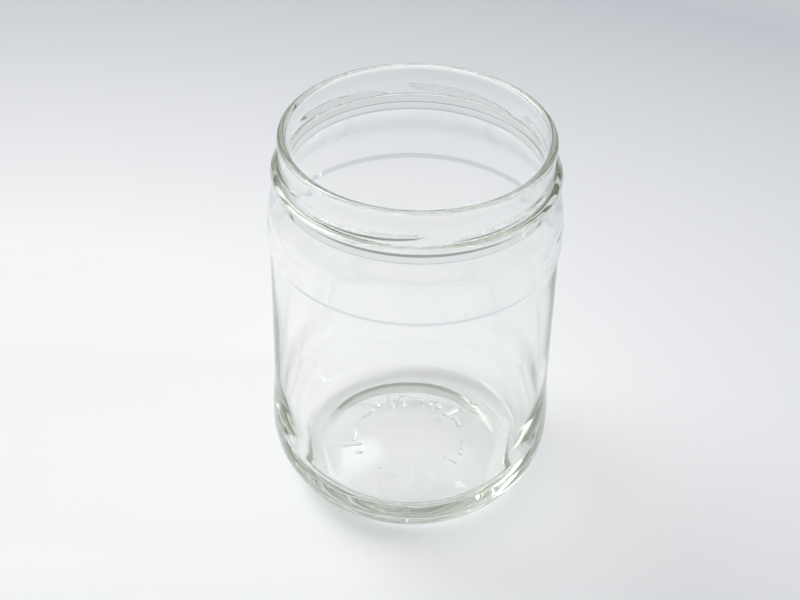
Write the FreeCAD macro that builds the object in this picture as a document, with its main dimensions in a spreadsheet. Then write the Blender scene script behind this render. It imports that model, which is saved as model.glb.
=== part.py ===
"""An empty glass canning jar with a six-lug screw mouth, as one solid, in millimetres.

The jar stands on its bearing ring at z = 0, with its axis on +Z. The front is -Y. Its wall is a turned
profile: foot, heel, label panel, shoulder bulge, neck, neck ring, mouth wall and rounded lip outside, and
the blown inside. Six lugs climb the mouth wall counter-clockwise seen from above, for a lid that closes
clockwise.
"""

import math
import os

import FreeCAD, Part

# Driving dimensions. A radius is measured from the jar's axis, a height from the resting plane; a round is
# the radius of a fillet.
SIZES = {
    # foot and heel
    "pushup_height": 4.8,
    "pushup_crown_radius": 14.0,
    "bearing_inner_radius": 29.3,
    "bearing_outer_radius": 33.4,
    "pushup_round": 80.0,
    "heel_corner_height": 9.2,
    "heel_radius": 43.3,
    "heel_top": 25.0,
    "foot_round": 3.8,
    "heel_round": 24.6,
    # label panel and shoulder bulge
    "panel_bottom": 36.0,
    "panel_radius": 42.6,
    "panel_top": 86.3,
    "bulge_radius": 43.3,
    "bulge_bottom": 88.1,
    "bulge_top": 99.5,
    "step_round": 0.8,
    "shoulder_round": 25.0,
    # neck, neck ring and mouth wall
    "neck_radius": 40.55,
    "neck_bottom": 106.7,
    "neck_round": 1.0,
    "ring_radius": 41.9,
    "ring_bottom": 108.5,
    "ring_crest": 110.55,
    "ring_ledge_radius": 41.7,
    "ring_ledge": 110.95,
    "ring_root": 111.85,
    "ring_round": 0.3,
    "mouth_wall_radius": 39.6,
    # lip
    "lip_outer_radius": 40.0,
    "lip_bottom": 117.3,
    "jar_height": 122.3,
    "lip_round": 1.3,
    # inside
    "bore_radius": 37.2,
    "bore_bottom": 107.4,
    "inner_bulge_radius": 40.9,
    "inner_bulge_height": 97.6,
    "inner_heel_radius": 40.3,
    "inner_heel_height": 16.0,
    "floor_edge_radius": 35.3,
    "floor_height": 8.5,
    "inner_soft_round": 12.0,
    "inner_heel_round": 18.0,
    "floor_round": 3.8,
    # lugs
    "lug_first_angle": 12.0,
    "lug_span": 53.0,
    "lug_low_height": 111.6,
    "lug_high_height": 115.1,
    "lug_tube_radius": 1.5,
    "lug_rise": 1.2,
    "lug_end_rise": 0.12,
    "lug_end_radius": 0.75,
}
LUG_COUNT = 6
# A lug's cross-sections: share of its span, share of its climb and share of its full bulk.
LUG_SECTIONS = [(0.0, 0.0, 0.0), (0.19, 0.19, 0.65), (0.47, 0.36, 1.0), (0.7, 0.58, 0.85), (0.9, 0.8, 0.65),
                (1.0, 1.0, 0.0)]
GLASS_DENSITY = 2.5e-6  # kg per cubic millimetre

NODE = "jar"


def make_sheet(doc):
    """The spreadsheet of driving dimensions, one aliased cell each."""
    sheet = doc.addObject("Spreadsheet::Sheet", "Sizes")
    for row, (alias, value) in enumerate(SIZES.items(), start=1):
        sheet.set(f"A{row}", alias)
        sheet.set(f"B{row}", str(value))
        sheet.setAlias(f"B{row}", alias)
    doc.recompute()
    return sheet


def origin_part(body, role):
    """One of the body's own origin planes or axes."""
    return next(part for part in body.Origin.OriginFeatures if part.Role == role)


def bind(sketch, constraint, alias):
    """Adds a named constraint and ties its value to a cell."""
    index = sketch.addConstraint(constraint)
    name = f"c{index}_{alias}"
    sketch.renameConstraint(index, name)
    sketch.setExpression(f"Constraints.{name}", f"<<Sizes>>.{alias}")


def section_corners():
    """The sharp corners of the half section, as pairs of aliases, from the axis under the base round to the
    axis above the floor. None is the axis or the resting plane."""
    return [
        (None, "pushup_height"),
        ("pushup_crown_radius", "pushup_height"),
        ("bearing_inner_radius", None),
        ("bearing_outer_radius", None),
        ("heel_radius", "heel_corner_height"),
        ("heel_radius", "heel_top"),
        ("panel_radius", "panel_bottom"),
        ("panel_radius", "panel_top"),
        ("bulge_radius", "bulge_bottom"),
        ("bulge_radius", "bulge_top"),
        ("neck_radius", "neck_bottom"),
        ("neck_radius", "ring_bottom"),
        ("ring_radius", "ring_crest"),
        ("ring_ledge_radius", "ring_ledge"),
        ("mouth_wall_radius", "ring_root"),
        ("mouth_wall_radius", "lip_bottom"),
        ("lip_outer_radius", "jar_height"),
        ("bore_radius", "jar_height"),
        ("bore_radius", "bore_bottom"),
        ("inner_bulge_radius", "inner_bulge_height"),
        ("inner_heel_radius", "inner_heel_height"),
        ("floor_edge_radius", "floor_height"),
        (None, "floor_height"),
    ]


def value(alias):
    """A driving dimension, or 0 on the axis and the resting plane."""
    return SIZES[alias] if alias else 0.0


def turn_wall(body):
    """The jar without lugs: its half section, turned a full circle."""
    import Sketcher

    sketch = body.newObject("Sketcher::SketchObject", "HalfSection")
    sketch.AttachmentSupport = [(origin_part(body, "XZ_Plane"), "")]
    sketch.MapMode = "FlatFace"
    corners = section_corners()
    points = [FreeCAD.Vector(value(r), value(z), 0) for r, z in corners]
    for start, end in zip(points, points[1:] + points[:1]):
        sketch.addGeometry(Part.LineSegment(start, end), False)
    count = len(points)
    for line in range(count):
        sketch.addConstraint(Sketcher.Constraint("Coincident", line, 2, (line + 1) % count, 1))
    for line, (radius, height) in enumerate(corners):
        if radius:
            bind(sketch, Sketcher.Constraint("DistanceX", -1, 1, line, 1, value(radius)), radius)
        else:
            sketch.addConstraint(Sketcher.Constraint("PointOnObject", line, 1, -2))
        if height:
            bind(sketch, Sketcher.Constraint("DistanceY", -1, 1, line, 1, value(height)), height)
        else:
            sketch.addConstraint(Sketcher.Constraint("PointOnObject", line, 1, -1))
    wall = body.newObject("PartDesign::Revolution", "Wall")
    wall.Profile = sketch
    wall.ReferenceAxis = (sketch, ["V_Axis"])
    wall.Angle = 360.0
    body.Document.recompute()
    return wall


def edges_at(shape, corners):
    """Names of the circular edges that run through these section corners."""
    names = []
    for radius, height in corners:
        for number, edge in enumerate(shape.Edges, start=1):
            curve = edge.Curve
            if not isinstance(curve, Part.Circle):
                continue
            if math.hypot(curve.Radius - value(radius), curve.Center.z - value(height)) < 1e-4:
                names.append(f"Edge{number}")
    return names


def soften(body, base, name, alias, corners):
    """Rounds the edges at the given section corners with one radius."""
    fillet = body.newObject("PartDesign::Fillet", name)
    fillet.Base = (base, edges_at(base.Shape, corners))
    fillet.setExpression("Radius", f"<<Sizes>>.{alias}")
    body.Document.recompute()
    if "Invalid" in fillet.State or "Error" in fillet.State:
        raise RuntimeError(f"{name} failed on {len(fillet.Base[1])} edges")
    return fillet


def soften_wall(body, wall):
    """All the round stretches of the wall, from the foot up the outside and down the inside."""
    rounds = [
        ("HeelRound", "heel_round", [("heel_radius", "heel_corner_height")]),
        ("PushupRound", "pushup_round", [("pushup_crown_radius", "pushup_height")]),
        ("FootRounds", "foot_round", [("bearing_inner_radius", None), ("bearing_outer_radius", None)]),
        ("StepRounds", "step_round", [("panel_radius", "panel_top"), ("bulge_radius", "bulge_bottom")]),
        ("ShoulderRound", "shoulder_round", [("bulge_radius", "bulge_top")]),
        ("RingRounds", "ring_round", [("neck_radius", "ring_bottom"), ("ring_radius", "ring_crest")]),
        ("NeckRound", "neck_round", [("neck_radius", "neck_bottom")]),
        ("LipRounds", "lip_round", [("lip_outer_radius", "jar_height"), ("bore_radius", "jar_height")]),
        ("ThroatRounds", "inner_soft_round", [("bore_radius", "bore_bottom"),
                                              ("inner_bulge_radius", "inner_bulge_height")]),
        ("InnerHeelRound", "inner_heel_round", [("inner_heel_radius", "inner_heel_height")]),
        ("FloorRound", "floor_round", [("floor_edge_radius", "floor_height")]),
    ]
    last = wall
    for name, alias, corners in rounds:
        last = soften(body, last, name, alias, corners)
    return last


def lug_section(body, number, along, climb, bulk):
    """One round cross-section of the first lug, in a plane through the jar's axis."""
    import Sketcher

    sketch = body.newObject("Sketcher::SketchObject", f"LugSection{number}")
    sketch.AttachmentSupport = [(origin_part(body, "XZ_Plane"), "")]
    sketch.MapMode = "FlatFace"
    turn = f"(<<Sizes>>.lug_first_angle + <<Sizes>>.lug_span * {along} - 90)"
    sketch.setExpression(".AttachmentOffset.Rotation.Angle", turn)
    sketch.AttachmentOffset = FreeCAD.Placement(FreeCAD.Vector(), FreeCAD.Rotation(FreeCAD.Vector(0, 1, 0), 1))
    radius = f"(<<Sizes>>.lug_end_radius + (<<Sizes>>.lug_tube_radius - <<Sizes>>.lug_end_radius) * {bulk})"
    rise = f"(<<Sizes>>.lug_end_rise + (<<Sizes>>.lug_rise - <<Sizes>>.lug_end_rise) * {bulk})"
    sizes = {
        "tube": radius,
        "reach": f"<<Sizes>>.mouth_wall_radius + {rise} - {radius}",
        "level": f"<<Sizes>>.lug_low_height + (<<Sizes>>.lug_high_height - <<Sizes>>.lug_low_height) * {climb}",
    }
    tube = SIZES["lug_end_radius"] + (SIZES["lug_tube_radius"] - SIZES["lug_end_radius"]) * bulk
    centre = FreeCAD.Vector(SIZES["mouth_wall_radius"], SIZES["lug_low_height"], 0)
    sketch.addGeometry(Part.Circle(centre, FreeCAD.Vector(0, 0, 1), tube), False)
    constraints = {
        "tube": Sketcher.Constraint("Radius", 0, tube),
        "reach": Sketcher.Constraint("DistanceX", -1, 1, 0, 3, centre.x),
        "level": Sketcher.Constraint("DistanceY", -1, 1, 0, 3, centre.y),
    }
    for name, constraint in constraints.items():
        sketch.renameConstraint(sketch.addConstraint(constraint), name)
        sketch.setExpression(f"Constraints.{name}", sizes[name])
    return sketch


def raise_lugs(body):
    """The six lugs: one lofted round its stretch of the mouth wall, then patterned about the axis."""
    sections = [lug_section(body, i, *section) for i, section in enumerate(LUG_SECTIONS)]
    body.Document.recompute()
    lug = body.newObject("PartDesign::AdditiveLoft", "Lug")
    lug.Profile = sections[0]
    lug.Sections = sections[1:]
    lug.Ruled = False
    body.Document.recompute()
    pattern = body.newObject("PartDesign::PolarPattern", "Lugs")
    pattern.Originals = [lug]
    pattern.Axis = (origin_part(body, "Z_Axis"), [""])
    pattern.Angle = 360.0
    pattern.Occurrences = LUG_COUNT
    body.Tip = pattern
    body.Document.recompute()
    return pattern


def check(doc, shape):
    """Stops on a failed object or a shape that isn't one valid solid."""
    failed = [o.Name for o in doc.Objects if "Invalid" in o.State or "Error" in o.State]
    if failed:
        raise RuntimeError(f"failed objects: {failed}")
    if shape.isNull() or not shape.isValid() or len(shape.Solids) != 1:
        raise RuntimeError("the jar isn't one valid solid")


def main():
    """Builds the jar and writes its one solid."""
    doc = FreeCAD.newDocument("CanningJar")
    make_sheet(doc)
    body = doc.addObject("PartDesign::Body", "Jar")
    body.Label = NODE
    wall = turn_wall(body)
    softened = soften_wall(body, wall)
    plain_volume = softened.Shape.Volume
    lugs = raise_lugs(body)
    check(doc, body.Shape)
    added = lugs.Shape.Volume - plain_volume
    if added <= 0:
        raise RuntimeError("the lugs added nothing")
    box = body.Shape.optimalBoundingBox(False, False)
    print(f"volume {body.Shape.Volume / 1000:.2f} cm3, glass {body.Shape.Volume * GLASS_DENSITY:.4f} kg")
    print(f"lugs add {added:.0f} mm3; box {box.XLength:.2f} x {box.YLength:.2f} x {box.ZLength:.2f}")
    os.makedirs("parts", exist_ok=True)
    body.Shape.exportStep(f"parts/{NODE}.step")


main()
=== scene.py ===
"""A clear glass canning jar, empty and without its lid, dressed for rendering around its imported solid.

Sizes inside the classes are millimetres, measured from the jar's axis and from its resting plane. They are
turned to metres where a mesh, lamp or camera is made. An angle round the jar is in degrees from the front
(-Y), counter-clockwise seen from above.
"""

import logging
import math
from dataclasses import dataclass
from enum import Enum
from typing import Any, Optional, Sequence

import bpy
import numpy as np
from mathutils import Matrix, Vector


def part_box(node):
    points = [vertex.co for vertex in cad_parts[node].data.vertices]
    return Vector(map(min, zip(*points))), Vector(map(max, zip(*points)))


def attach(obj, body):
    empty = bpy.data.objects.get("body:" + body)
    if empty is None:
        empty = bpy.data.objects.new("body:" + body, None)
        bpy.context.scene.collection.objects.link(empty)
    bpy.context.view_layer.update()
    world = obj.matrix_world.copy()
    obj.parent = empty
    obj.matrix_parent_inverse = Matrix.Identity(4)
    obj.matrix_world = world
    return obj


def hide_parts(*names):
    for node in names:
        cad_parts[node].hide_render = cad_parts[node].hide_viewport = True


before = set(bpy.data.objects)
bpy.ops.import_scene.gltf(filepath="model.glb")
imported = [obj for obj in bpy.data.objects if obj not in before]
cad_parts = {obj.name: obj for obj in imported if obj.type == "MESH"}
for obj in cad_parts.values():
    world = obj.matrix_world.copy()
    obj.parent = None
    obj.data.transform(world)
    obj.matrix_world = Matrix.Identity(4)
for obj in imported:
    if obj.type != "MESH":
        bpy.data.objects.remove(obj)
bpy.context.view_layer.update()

log = logging.getLogger("canning_jar")

MM_PER_M = 1000.0

Point = tuple[float, float]


def to_m(millimetres: float) -> float:
    """Turns millimetres to metres.

    Args:
        millimetres: the length.

    Returns:
        The same length in metres.
    """
    return millimetres / MM_PER_M


def linear(hex_colour: str) -> tuple[float, float, float, float]:
    """Turns an sRGB hex colour to linear RGBA.

    Args:
        hex_colour: six hex digits, such as "F4F6F8".

    Returns:
        The linear colour with an alpha of 1.
    """
    channels = [int(hex_colour[i:i + 2], 16) / 255.0 for i in (0, 2, 4)]
    return (*(c / 12.92 if c <= 0.04045 else ((c + 0.055) / 1.055) ** 2.4 for c in channels), 1.0)


def add_node(tree: bpy.types.NodeTree, kind: str, settings: Optional[dict[Any, Any]] = None,
             links: Optional[dict[Any, bpy.types.NodeSocket]] = None) -> bpy.types.Node:
    """Adds a node with its settings and incoming links.

    Args:
        tree: the node tree that gets the node.
        kind: the node's type name.
        settings: values by name, each an input socket's or else a property of the node.
        links: sockets to link from, by the name of the new node's input.

    Returns:
        The new node.
    """
    node = tree.nodes.new(kind)
    for name, value in (settings or {}).items():
        if isinstance(name, str) and hasattr(node, name):
            setattr(node, name, value)
        else:
            node.inputs[name].default_value = value
    for name, source in (links or {}).items():
        tree.links.new(source, node.inputs[name])
    return node


@dataclass(frozen=True)
class Corner:
    """A corner of the jar's half section.

    Attributes:
        radius: distance from the axis.
        height: height over the resting plane.
        fillet: radius of the round that softens the corner, 0 for none.
        spacing: longest edge of the mesh from here to the next corner.
        grain: longest edge of the mesh on the corner's own round.
    """

    radius: float
    height: float
    fillet: float = 0.0
    spacing: float = 3.0
    grain: float = 1.2


def rounded(corners: Sequence[Corner], arc_step: float) -> list[Point]:
    """Draws an open outline through corners, with their rounds as true arcs.

    Args:
        corners: the corners in order.
        arc_step: turn between two points of an arc, in degrees.

    Returns:
        The outline's points, as (radius, height).
    """
    outline: list[Point] = []
    for i, corner in enumerate(corners):
        here = Vector((corner.radius, corner.height))
        arc = [here]
        if corner.fillet and 0 < i < len(corners) - 1:
            before = (Vector((corners[i - 1].radius, corners[i - 1].height)) - here).normalized()
            after = (Vector((corners[i + 1].radius, corners[i + 1].height)) - here).normalized()
            turn = math.pi - before.angle(after)
            reach = corner.fillet * math.tan(turn / 2)
            centre = here + (before + after).normalized() * corner.fillet / math.cos(turn / 2)
            first = here + before * reach - centre
            last = here + after * reach - centre
            by_turn = math.ceil(math.degrees(turn) / arc_step)
            by_length = math.ceil(corner.fillet * turn / corner.grain)
            steps = max(2, by_turn, by_length)
            arc = [centre + (first * math.sin(turn * (1 - k / steps)) + last * math.sin(turn * k / steps))
                   / math.sin(turn) for k in range(steps + 1)]
        if outline:
            run = arc[0] - Vector(outline[-1])
            parts = max(1, math.ceil(run.length / corners[i - 1].spacing))
            start = Vector(outline[-1])
            outline += [tuple(start + run * k / parts) for k in range(1, parts)]
        outline += [tuple(p) for p in arc]
    return outline


class MarkKind(Enum):
    """The forms of the plain raised marks under the base."""

    DOT = "dot"
    BAR = "bar"
    ARC = "arc"


@dataclass(frozen=True)
class Mark:
    """One plain raised mark under the base.

    Attributes:
        kind: its form.
        angle: where it is round the jar.
        ring: radius of the ring it sits on.
        span: length of a bar or an arc, or a dot's width.
    """

    kind: MarkKind
    angle: float
    ring: float
    span: float


@dataclass(frozen=True)
class SodaLimeGlass:
    """Soda-lime container glass, blown in a polished iron mould: water-clear through a thin wall, sea green
    where the eye looks along the wall, with the mould's faint orange peel on it.

    Attributes:
        ior: index of refraction.
        surface: colour of the light that the surface lets through.
        depth_colour: colour that the glass takes on with depth.
        density: how fast it takes that colour on, per metre.
        peel_size: size of one bump of the orange peel.
        peel_height: height of the orange peel.
    """

    ior: float = 1.52
    surface: str = "FFFFFF"
    depth_colour: str = "A2B491"
    density: float = 8.0
    peel_size: float = 11.0
    peel_height: float = 0.005

    def material(self) -> bpy.types.Material:
        """Builds the glass.

        Returns:
            The material.
        """
        glass = bpy.data.materials.new("soda_lime_glass")
        glass.use_nodes = True
        tree = glass.node_tree
        tree.nodes.clear()
        place = add_node(tree, "ShaderNodeTexCoord").outputs["Object"]
        noise = add_node(tree, "ShaderNodeTexNoise",
                         {"Scale": 1.0 / to_m(self.peel_size), "Detail": 0.0}, {"Vector": place})
        bump = add_node(tree, "ShaderNodeBump", {"Strength": 1.0, "Distance": to_m(self.peel_height)},
                        {"Height": noise.outputs["Fac"]})
        shader = add_node(tree, "ShaderNodeBsdfPrincipled",
                          {"Base Color": linear(self.surface), "Roughness": 0.0, "IOR": self.ior,
                           "Transmission Weight": 1.0}, {"Normal": bump.outputs["Normal"]})
        depth = add_node(tree, "ShaderNodeVolumeAbsorption",
                         {"Color": linear(self.depth_colour), "Density": self.density})
        add_node(tree, "ShaderNodeOutputMaterial", None,
                 {"Surface": shader.outputs["BSDF"], "Volume": depth.outputs["Volume"]})
        return glass


@dataclass
class GlassJar:
    """The jar: one closed shell, turned round its axis, with its lugs, mould seams and base relief.

    Attributes:
        steps: columns of the mesh in a full turn.
        arc_step: turn between two points of a round, in degrees.
        heel_radius: the heel's and the shoulder bulge's radius.
        panel_radius: the label panel's radius.
        neck_radius: the neck's radius.
        ring_radius: the neck ring's radius.
        wall_radius: the mouth wall's radius, between the lugs.
        lip_radius: the lip's outer radius.
        lip_round: radius of the lip's two rounds.
        bore_radius: the mouth's inner radius.
        underside_radius: how far out the underside reaches.
        pushup: height of the push-up under the base.
        pushup_margin: how far over the push-up's height the underside's points may lie.
        floor: height of the floor's middle.
        lug_first: angle at which the first lug starts.
        lug_span: angle from a lug's low end to its high end.
        lug_pitch: angle from one lug to the next.
        lug_rise: how far a lug stands out.
        seam_angles: angles of the two mould seams.
        seam_height: how far a seam stands out.
        seam_foot: height at which the seams begin to show.
        mark_height: how far the base marks stand out.
        mark_width: width of a mark's strokes.
        mark_reach: radius within which the marks lie.
        knurl_count: knurls round the bearing ring.
        knurl_height: depth of the knurls.
        knurl_radius: radius at which the knurls are deepest.
        knurl_reach: how far they reach inward and outward from there.
        ripple: height of the blown inside's ripples, from trough to crest.
        ripple_size: size of one ripple.
        glass: what the jar is made of.
    """

    steps: int = 300
    arc_step: float = 7.5
    heel_radius: float = 43.3
    panel_radius: float = 42.6
    neck_radius: float = 40.55
    ring_radius: float = 41.95
    wall_radius: float = 39.6
    lip_radius: float = 40.0
    lip_round: float = 1.32
    bore_radius: float = 37.2
    underside_radius: float = 34.0
    pushup: float = 4.9
    pushup_margin: float = 1.0
    floor: float = 8.8
    lug_first: float = 12.0
    lug_span: float = 53.0
    lug_pitch: float = 60.0
    lug_rise: float = 1.05
    seam_angles: tuple[float, ...] = (24.75, 204.75)
    seam_height: float = 0.02
    seam_foot: float = 26.0
    mark_height: float = 0.45
    mark_width: float = 1.5
    mark_reach: float = 26.0
    knurl_count: int = 80
    knurl_height: float = 0.15
    knurl_radius: float = 33.6
    knurl_reach: float = 1.6
    ripple: float = 0.15
    ripple_size: float = 24.0
    glass: SodaLimeGlass = SodaLimeGlass()

    def __post_init__(self) -> None:
        """Takes the jar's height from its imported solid."""
        self.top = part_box("jar")[1].z * MM_PER_M

    def section(self) -> list[Corner]:
        """The half section, from the axis under the base, up the outside, over the lip and down the inside.

        Returns:
            The section's corners.
        """
        top = self.top
        return [
            # push-up and bearing ring
            Corner(0.0, self.pushup),
            Corner(14.0, self.pushup, 82.0, 0.8, 0.5),
            Corner(29.3, 0.0, 4.2, 0.4, 0.5),
            Corner(33.4, 0.0, 3.9, 1.2, 0.4),
            # heel and label panel
            Corner(self.heel_radius, 9.2, 24.6),
            Corner(self.heel_radius, 25.0, 60.0),
            Corner(self.panel_radius, 36.0, 100.0, 3.2, 1.8),
            # step up to the shoulder bulge
            Corner(self.panel_radius, top - 35.8, 0.6),
            Corner(self.heel_radius, top - 34.35, 0.6),
            Corner(self.heel_radius, top - 22.8, 25.0),
            # neck, with the moulds' parting line at its foot
            Corner(self.neck_radius - 0.1, top - 16.0, 0.4),
            Corner(self.neck_radius + 0.1, top - 15.8, 0.08),
            # neck ring: a small ledge, a flank that widens upward, a chamfer and a sloping top
            Corner(self.neck_radius + 0.05, top - 13.75, 0.15),
            Corner(self.neck_radius + 0.2, top - 13.6, 0.15),
            Corner(self.ring_radius, top - 11.75, 0.4),
            Corner(self.ring_radius - 0.2, top - 11.35, 0.3),
            # mouth wall, finely divided for the lugs, and lip
            Corner(self.wall_radius, top - 10.45, 0.35, 0.17),
            Corner(self.wall_radius, top - 6.0, 0.0, 0.8),
            Corner(self.wall_radius, top - 5.0, 12.0),
            Corner(self.lip_radius, top, self.lip_round),
            Corner(self.bore_radius, top, self.lip_round),
            # throat, blown inside and floor
            Corner(self.bore_radius, top - 14.9, 12.0),
            Corner(40.9, top - 24.7, 12.0, 3.2, 2.0),
            Corner(40.3, 16.0, 19.2),
            Corner(35.3, self.floor - 0.5, 3.4),
            Corner(20.0, self.floor, 50.0),
            Corner(0.0, self.floor),
        ]

    def turn(self) -> bpy.types.Object:
        """Draws the section as a wire and spins it into the closed shell.

        Returns:
            The shell.
        """
        outline = [Vector((to_m(r), 0.0, to_m(z))) for r, z in rounded(self.section(), self.arc_step)]
        same_point = 0.002
        bpy.ops.object.select_all(action="DESELECT")
        # a small plane, merged to one point, starts the wire
        bpy.ops.mesh.primitive_plane_add(size=to_m(1.0), location=outline[0])
        shell = bpy.context.object
        shell.name = "glass_jar"
        bpy.ops.object.transform_apply(location=True, rotation=True, scale=True)
        bpy.ops.object.mode_set(mode="EDIT")
        bpy.ops.mesh.select_mode(type="VERT")
        bpy.ops.mesh.select_all(action="SELECT")
        bpy.ops.mesh.merge(type="CENTER")
        for here, there in zip(outline, outline[1:]):
            bpy.ops.mesh.extrude_region_move(TRANSFORM_OT_translate={"value": there - here})
        bpy.ops.mesh.select_all(action="SELECT")
        bpy.ops.mesh.spin(steps=self.steps, angle=math.tau, center=(0, 0, 0), axis=(0, 0, 1))
        bpy.ops.mesh.select_all(action="SELECT")
        bpy.ops.mesh.remove_doubles(threshold=to_m(same_point))
        bpy.ops.mesh.normals_make_consistent(inside=False)
        bpy.ops.object.mode_set(mode="OBJECT")
        return shell

    def places(self, shell: bpy.types.Object) -> tuple[np.ndarray, np.ndarray, np.ndarray]:
        """Where the shell's points are.

        Args:
            shell: the jar's mesh.

        Returns:
            Each point's radius, angle and height.
        """
        flat = np.empty(len(shell.data.vertices) * 3)
        shell.data.vertices.foreach_get("co", flat)
        x, y, z = flat.reshape(-1, 3).T * MM_PER_M
        return np.hypot(x, y), np.degrees(np.arctan2(x, -y)) % 360.0, z

    def outside(self, radius: np.ndarray, height: np.ndarray) -> np.ndarray:
        """Tells the moulded outside of the wall from its blown inside.

        Args:
            radius: each point's radius.
            height: each point's height.

        Returns:
            True for each point on the outside, the underside included.
        """
        skin_depth = 1.1
        foot_radius = 31.0
        wall = rounded(self.section(), self.arc_step)
        rim = max(range(len(wall)), key=lambda i: wall[i][1])
        skin = sorted((z, r) for r, z in wall[:rim] if r > foot_radius)
        over = np.interp(height, [z for z, _ in skin], [r for _, r in skin])
        below = (height < self.pushup + self.pushup_margin) & (radius < self.underside_radius)
        return below | (radius > over - skin_depth)

    def lug_weights(self, radius: np.ndarray, angle: np.ndarray, height: np.ndarray) -> np.ndarray:
        """The six lugs: low blunt starts, a full middle and thin high ends, each steep above its crest and
        sloping below it.

        Args:
            radius: each point's radius.
            angle: each point's angle.
            height: each point's height.

        Returns:
            Each point's share of a lug's full rise.
        """
        share = [0.0, 0.08, 0.19, 0.45, 0.68, 0.9, 1.0]  # of the lug's span
        upper = [10.1, 9.2, 8.6, 7.7, 7.2, 6.9, 7.0]  # its upper edge, below the lip
        lower = [10.2, 10.25, 10.25, 10.2, 9.8, 8.8, 7.3]  # its lower edge, below the lip
        bulk = [0.0, 0.35, 0.7, 1.0, 0.95, 0.75, 0.0]  # share of its full rise
        crest_share = 0.7  # the crest's place, as a share of the way up from the lower edge
        curve_above, curve_below = 2.0, 1.15
        bevel_above, bevel_below = 1.6, 1.1
        wall_margin = 0.1
        along = ((angle - self.lug_first) % self.lug_pitch) / self.lug_span
        below = self.top - height
        high = np.interp(along, share, upper)
        low = np.interp(along, share, lower)
        crest = low - crest_share * (low - high)
        off = np.where(below < crest, (crest - below) / (crest - high), (below - crest) / (low - crest))
        curve = np.where(below < crest, curve_above, curve_below)
        bevel = np.where(below < crest, bevel_above, bevel_below)
        rise = np.clip(1.0 - off ** curve, 0.0, 1.0) ** bevel * np.interp(along, share, bulk)
        on_wall = (abs(radius - self.wall_radius) < wall_margin) & (along <= 1.0)
        return np.where(on_wall, rise, 0.0)

    def marks(self) -> list[Mark]:
        """Plain marks in groups of three round the base, where such jars are marked.

        Returns:
            The marks.
        """
        kinds = (MarkKind.BAR, MarkKind.DOT, MarkKind.ARC)
        spans = (6.5, 2.2, 5.5)
        groups = (-144.0, 173.0, 133.0, 66.0, -16.0, -78.0)
        spread = 15.0  # degrees between the marks of a group
        ring = 18.0
        marks = []
        for i, centre in enumerate(groups):
            for k in range(3):
                turn = (i + k) % 3
                marks.append(Mark(kinds[turn], centre + (k - 1) * spread, ring + k % 2, spans[turn]))
        return marks

    def mark_weights(self, radius: np.ndarray, angle: np.ndarray, height: np.ndarray) -> np.ndarray:
        """The relief under the base.

        Args:
            radius: each point's radius.
            angle: each point's angle.
            height: each point's height.

        Returns:
            Each point's share of the marks' height.
        """
        rise = np.zeros_like(radius)
        half = self.mark_width / 2
        for mark in self.marks():
            away = np.radians((angle - mark.angle + 180.0) % 360.0 - 180.0)
            across = radius * np.sin(away)
            outward = radius * np.cos(away) - mark.ring
            if mark.kind is MarkKind.DOT:
                gap = np.hypot(across, outward) - (mark.span / 2 - half)
            elif mark.kind is MarkKind.BAR:
                gap = np.hypot(across, np.maximum(abs(outward) - mark.span / 2 + half, 0.0))
            else:
                bend = radius - mark.ring
                gap = np.hypot(bend, np.maximum(abs(away * mark.ring) - mark.span / 2 + half, 0.0))
            rise = np.maximum(rise, np.clip(1.0 - np.maximum(gap, 0.0) / half, 0.0, 1.0))
        under = (height < self.pushup + self.pushup_margin) & (radius < self.mark_reach)
        return np.where(under, np.sin(rise * math.pi / 2), 0.0)

    def emboss(self, shell: bpy.types.Object, name: str, weights: np.ndarray, height: float,
               texture: Optional[bpy.types.Texture] = None) -> None:
        """Raises part of the surface along its normals and applies that to the mesh.

        Args:
            shell: the jar's mesh.
            name: what is raised.
            weights: each point's share of the height.
            height: the full height, in millimetres.
            texture: an even field of bumps to raise instead of a plain step.
        """
        group = shell.vertex_groups.new(name=name)
        grades = 2000.0  # points of one grade are weighted together, which is much faster
        levels = np.round(weights * grades) / grades
        for level in np.unique(levels[levels > 0.0]):
            group.add(np.flatnonzero(levels == level).tolist(), float(level), "REPLACE")
        bpy.context.view_layer.objects.active = shell
        lift = shell.modifiers.new(name, "DISPLACE")
        lift.vertex_group = group.name
        lift.direction = "NORMAL"
        lift.strength = to_m(height)
        lift.mid_level = 0.5 if texture else 0.0
        lift.texture = texture
        lift.texture_coords = "LOCAL"
        bpy.ops.object.modifier_apply(modifier=lift.name)
        shell.vertex_groups.clear()

    def ripple_weights(self, outside: np.ndarray, height: np.ndarray) -> np.ndarray:
        """The blown inside's ripples, which fade out towards the mouth and the base.

        Args:
            outside: True for each point on the outside.
            height: each point's height.

        Returns:
            Each point's share of the ripples' height.
        """
        fade_length = 12.0
        throat = self.top - 13.0
        heel = 22.0
        from_throat = np.clip((throat - height) / fade_length, 0.0, 1.0)
        from_heel = np.clip((height - heel) / fade_length, 0.0, 1.0)
        return np.where(outside, 0.0, from_throat * from_heel)

    def seam_weights(self, outside: np.ndarray, angle: np.ndarray, height: np.ndarray) -> np.ndarray:
        """The two mould seams, each one column of points wide.

        Args:
            outside: True for each point on the outside.
            angle: each point's angle.
            height: each point's height.

        Returns:
            Each point's share of the seams' height.
        """
        half_column = 180.0 / self.steps
        fade_length = 8.0
        lip_clearance = 0.7
        seam = np.zeros_like(angle)
        for seam_angle in self.seam_angles:
            seam[abs((angle - seam_angle + 180.0) % 360.0 - 180.0) < half_column] = 1.0
        fade = np.clip((height - self.seam_foot) / fade_length, 0.0, 1.0)
        return seam * outside * fade * (height < self.top - lip_clearance)

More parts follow.
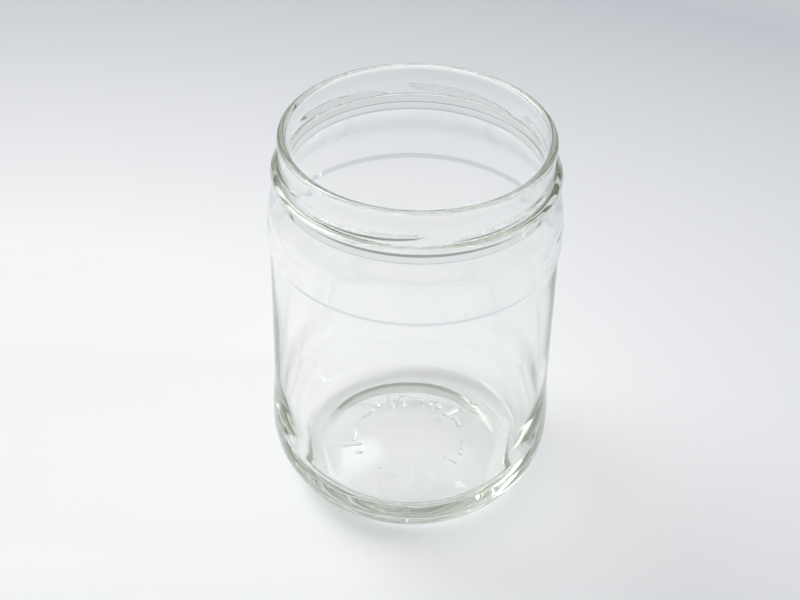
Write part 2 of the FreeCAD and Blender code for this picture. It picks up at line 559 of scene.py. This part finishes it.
    def knurl_weights(self, radius: np.ndarray, angle: np.ndarray, height: np.ndarray) -> np.ndarray:
        """The knurls on the bearing ring.

        Args:
            radius: each point's radius.
            angle: each point's angle.
            height: each point's height.

        Returns:
            Each point's share of the knurls' depth.
        """
        foot_height = 2.5
        wave = 0.5 - 0.5 * np.cos(np.radians(angle) * self.knurl_count)
        ring = np.clip(1.0 - abs(radius - self.knurl_radius) / self.knurl_reach, 0.0, 1.0)
        return wave * (ring * (height < foot_height))

    def build(self) -> bpy.types.Object:
        """Makes the shell, raises its relief and dresses it.

        Returns:
            The finished jar.
        """
        shell = self.turn()
        radius, angle, height = self.places(shell)
        outside = self.outside(radius, height)
        swell = bpy.data.textures.new("blown_wall", "CLOUDS")
        swell.noise_scale = to_m(self.ripple_size)
        swell.noise_depth = 0
        ripples = self.ripple_weights(outside, height)
        lugs = self.lug_weights(radius, angle, height)
        seam = self.seam_weights(outside, angle, height)
        marks = self.mark_weights(radius, angle, height)
        tread = self.knurl_weights(radius, angle, height)
        self.emboss(shell, "blown_inside", ripples, self.ripple, swell)
        self.emboss(shell, "lugs", lugs, self.lug_rise)
        self.emboss(shell, "mould_seams", seam, self.seam_height)
        self.emboss(shell, "base_marks", marks, self.mark_height)
        self.emboss(shell, "bearing_knurls", tread, -self.knurl_height)
        bpy.ops.object.select_all(action="DESELECT")
        shell.select_set(True)
        bpy.ops.object.shade_smooth()
        shell.data.materials.clear()
        shell.data.materials.append(self.glass.material())
        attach(shell, "root")
        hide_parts("jar")
        return shell


@dataclass(frozen=True)
class Camera:
    """A long lens that looks down on the jar from the front.

    Attributes:
        sensor_width: width of the sensor.
        focal_length: focal length of the lens.
        near_clip: nearest distance that it draws.
        distance: from the aim to the lens.
        elevation: how steeply it looks down, in degrees.
        roll: its turn about the line of sight, in degrees.
        aim: the point that it looks at.
    """

    sensor_width: float = 36.0
    focal_length: float = 76.5
    near_clip: float = 10.0
    distance: float = 516.63
    elevation: float = 38.04
    roll: float = 1.34
    aim: tuple[float, float, float] = (-3.93, 0.0, 62.26)

    def build(self) -> None:
        """Sets the camera up and makes it the scene's own."""
        lens = bpy.data.cameras.new("camera")
        lens.sensor_fit = "HORIZONTAL"
        lens.sensor_width = self.sensor_width
        lens.lens = self.focal_length
        lens.clip_start = to_m(self.near_clip)
        elevation, roll = math.radians(self.elevation), math.radians(self.roll)
        back = Vector((0.0, -math.cos(elevation), math.sin(elevation)))
        right = Vector((1.0, 0.0, 0.0))
        up = back.cross(right)
        across = right * math.cos(roll) + up * math.sin(roll)
        upward = up * math.cos(roll) - right * math.sin(roll)
        turn = Matrix((across, upward, back)).transposed()
        place = (Vector(self.aim) + back * self.distance) / MM_PER_M
        camera = bpy.data.objects.new("camera", lens)
        bpy.context.scene.collection.objects.link(camera)
        camera.matrix_world = Matrix.Translation(place) @ turn.to_4x4()
        bpy.context.scene.camera = camera


@dataclass
class Studio:
    """A white table with painted light on it, in a soft room: a bright window at the back left, dim walls low
    behind, and a softbox.

    Attributes:
        table_size: side of the square table top.
        table_roughness: how matt the table top is.
        table_sheen: how strongly it reflects, 0.5 being a plain varnish.
        bright_centre: where on the table the painted pool of light is brightest.
        fade_across: how fast the painted light changes sideways, as a share of how fast it does front to back.
        fade_reach: distance over which the painted light runs out into painted shade.
        painted_light_colours: the painted light's tones on the table, by share of that distance.
        bright_from: direction of the window.
        window_edge: cosine of the angle from its middle at which the window's light ends.
        window_strength: light at the window's middle, added to the room's own.
        room_strength: the room's own light.
        front_dim: how much weaker that is in front.
        dim_span: where it starts to grow from weak to full and where it is full, by the direction's Y.
        front_colour: colour of the room in front.
        front_blend: how far to each side of Y = 0 that colour blends into those behind.
        room_colours: the room's colours behind, by the sine of the angle over the horizon.
        softbox_size: the softbox's width and height.
        softbox_place: where the softbox stands.
        softbox_power: its light, in watts.
        bounces: how often light may bounce or be bent, which the jar's many walls and rounds use up.
        clear_bounces: how often it may pass straight through.
    """

    table_size: float = 4000.0
    table_roughness: float = 0.6
    table_sheen: float = 0.2
    bright_centre: tuple[float, float] = (-150.0, 30.0)
    fade_across: float = 0.6
    fade_reach: float = 1000.0
    # painted light on the table: near white close to the jar, greyer further off, and painted shade at the far
    # end
    painted_light_colours: tuple[tuple[float, str], ...] = ((0.08, "F7F7F8"), (0.32, "C2C4CA"), (0.45, "D6D8DA"),
                                                   (0.62, "D6D8DA"), (0.68, "70766A"))
    bright_from: tuple[float, float, float] = (-0.65, 0.45, 0.75)
    window_edge: float = 0.9
    window_strength: float = 7.5
    room_strength: float = 1.04
    front_dim: float = 0.35
    dim_span: tuple[float, float] = (-0.9, -0.1)
    front_colour: str = "DADBDD"
    front_blend: float = 0.35
    room_colours: tuple[tuple[float, str], ...] = ((0.0, "6C7266"), (0.28, "8F948A"), (0.5, "CACBCA"),
                                                   (0.9, "DCDDDE"))
    softbox_size: tuple[float, float] = (50.0, 1100.0)
    softbox_place: tuple[float, float, float] = (1000.0, 0.0, 620.0)
    softbox_power: float = 1.0
    bounces: int = 64
    clear_bounces: int = 32

    def ramp(self, tree: bpy.types.NodeTree, colours: Sequence[tuple[float, str]],
             along: bpy.types.NodeSocket) -> bpy.types.NodeSocket:
        """Blends colours along a value.

        Args:
            tree: the node tree that gets the ramp.
            colours: positions and hex colours, in order.
            along: the value, 0 to 1.

        Returns:
            The blended colour's socket.
        """
        node = add_node(tree, "ShaderNodeValToRGB", None, {"Fac": along})
        while len(node.color_ramp.elements) < len(colours):
            node.color_ramp.elements.new(0.5)
        for element, (position, colour) in zip(node.color_ramp.elements, colours):
            element.position = position
            element.color = linear(colour)
        return node.outputs["Color"]

    def table(self) -> bpy.types.Object:
        """The table top, staged, with painted light in its colour: a painted pool of light that fades to
        painted shade far off.

        Returns:
            The table top.
        """
        bpy.ops.object.select_all(action="DESELECT")
        bpy.ops.mesh.primitive_plane_add(size=to_m(self.table_size), location=(0, 0, 0))
        top = bpy.context.object
        top.name = "table_top"
        paint = bpy.data.materials.new("white_laminate_painted_light")
        paint.use_nodes = True
        tree = paint.node_tree
        tree.nodes.clear()
        place = add_node(tree, "ShaderNodeTexCoord").outputs["Object"]
        # the table's colour is painted light: brightest at bright_centre, fading with distance to painted shade
        across, along = self.bright_centre
        centre = add_node(tree, "ShaderNodeMapping",
                          {"Location": (-to_m(across) * self.fade_across, -to_m(along), 0.0),
                           "Scale": (self.fade_across, 1.0, 1.0)}, {"Vector": place})
        reach = add_node(tree, "ShaderNodeVectorMath", {"operation": "LENGTH"},
                         {"Vector": centre.outputs["Vector"]})
        fade = add_node(tree, "ShaderNodeMapRange", {"From Max": to_m(self.fade_reach)},
                        {"Value": reach.outputs["Value"]})
        tone = self.ramp(tree, self.painted_light_colours, fade.outputs["Result"])
        shader = add_node(tree, "ShaderNodeBsdfPrincipled",
                          {"Roughness": self.table_roughness, "Specular IOR Level": self.table_sheen},
                          {"Base Color": tone})
        add_node(tree, "ShaderNodeOutputMaterial", None, {"Surface": shader.outputs["BSDF"]})
        top.data.materials.append(paint)
        return top

    def daylight(self) -> None:
        """The room's light: a smooth field, brightest at the back left, dim low behind, weaker in front."""
        world = bpy.data.worlds.new("soft_room")
        bpy.context.scene.world = world
        world.use_nodes = True
        tree = world.node_tree
        tree.nodes.clear()
        way = add_node(tree, "ShaderNodeTexCoord").outputs["Generated"]
        parts = add_node(tree, "ShaderNodeSeparateXYZ", None, {"Vector": way}).outputs
        room = self.ramp(tree, self.room_colours, parts["Z"])
        in_front = add_node(tree, "ShaderNodeMapRange",
                            {"interpolation_type": "SMOOTHSTEP", "From Min": self.front_blend,
                             "From Max": -self.front_blend}, {"Value": parts["Y"]})
        walls = add_node(tree, "ShaderNodeMix", {"data_type": "RGBA"},
                         {"Factor": in_front.outputs["Result"], 6: room})
        walls.inputs[7].default_value = linear(self.front_colour)
        toward = add_node(tree, "ShaderNodeVectorMath", {"operation": "DOT_PRODUCT"}, {0: way})
        toward.inputs[1].default_value = Vector(self.bright_from).normalized()
        window = add_node(tree, "ShaderNodeMapRange",
                          {"interpolation_type": "SMOOTHSTEP", "From Min": self.window_edge,
                           "From Max": 1.0, "To Max": self.window_strength},
                          {"Value": toward.outputs["Value"]})
        weak, full = self.dim_span
        dim = add_node(tree, "ShaderNodeMapRange",
                       {"interpolation_type": "SMOOTHSTEP", "From Min": weak, "From Max": full,
                        "To Min": self.room_strength - self.front_dim, "To Max": self.room_strength},
                       {"Value": parts["Y"]})
        strength = add_node(tree, "ShaderNodeMath", {"operation": "ADD"},
                            {0: window.outputs["Result"], 1: dim.outputs["Result"]})
        glow = add_node(tree, "ShaderNodeBackground", None,
                        {"Color": walls.outputs[2], "Strength": strength.outputs["Value"]})
        add_node(tree, "ShaderNodeOutputWorld", None, {"Surface": glow.outputs["Background"]})

    def softbox(self) -> None:
        """One tall narrow soft lamp on the right: small glints under the ring, on the heel and on the floor."""
        lamp = bpy.data.lights.new("softbox", "AREA")
        lamp.shape = "RECTANGLE"
        lamp.size, lamp.size_y = (to_m(side) for side in self.softbox_size)
        lamp.energy = self.softbox_power
        stand = bpy.data.objects.new("softbox", lamp)
        bpy.context.scene.collection.objects.link(stand)
        place = Vector([to_m(coordinate) for coordinate in self.softbox_place])
        stand.location = place
        stand.rotation_euler = (-place).to_track_quat("-Z", "Y").to_euler()

    def build(self) -> None:
        """Sets the table and the light, and how far light is followed."""
        self.table()
        self.daylight()
        self.softbox()
        scene = bpy.context.scene
        scene.view_settings.view_transform = "Standard"
        scene.cycles.max_bounces = self.bounces
        scene.cycles.transmission_bounces = self.bounces
        scene.cycles.glossy_bounces = self.bounces
        scene.cycles.transparent_max_bounces = self.clear_bounces
        scene.cycles.caustics_reflective = True
        scene.cycles.caustics_refractive = True
        scene.cycles.blur_glossy = 0.0


def main() -> None:
    """Builds the jar, its studio and the camera."""
    logging.basicConfig(level=logging.INFO, format="%(name)s: %(message)s")
    jar = GlassJar().build()
    log.info("%s: %d faces", jar.name, len(jar.data.polygons))
    Studio().build()
    Camera().build()


if __name__ == "__main__":
    main()
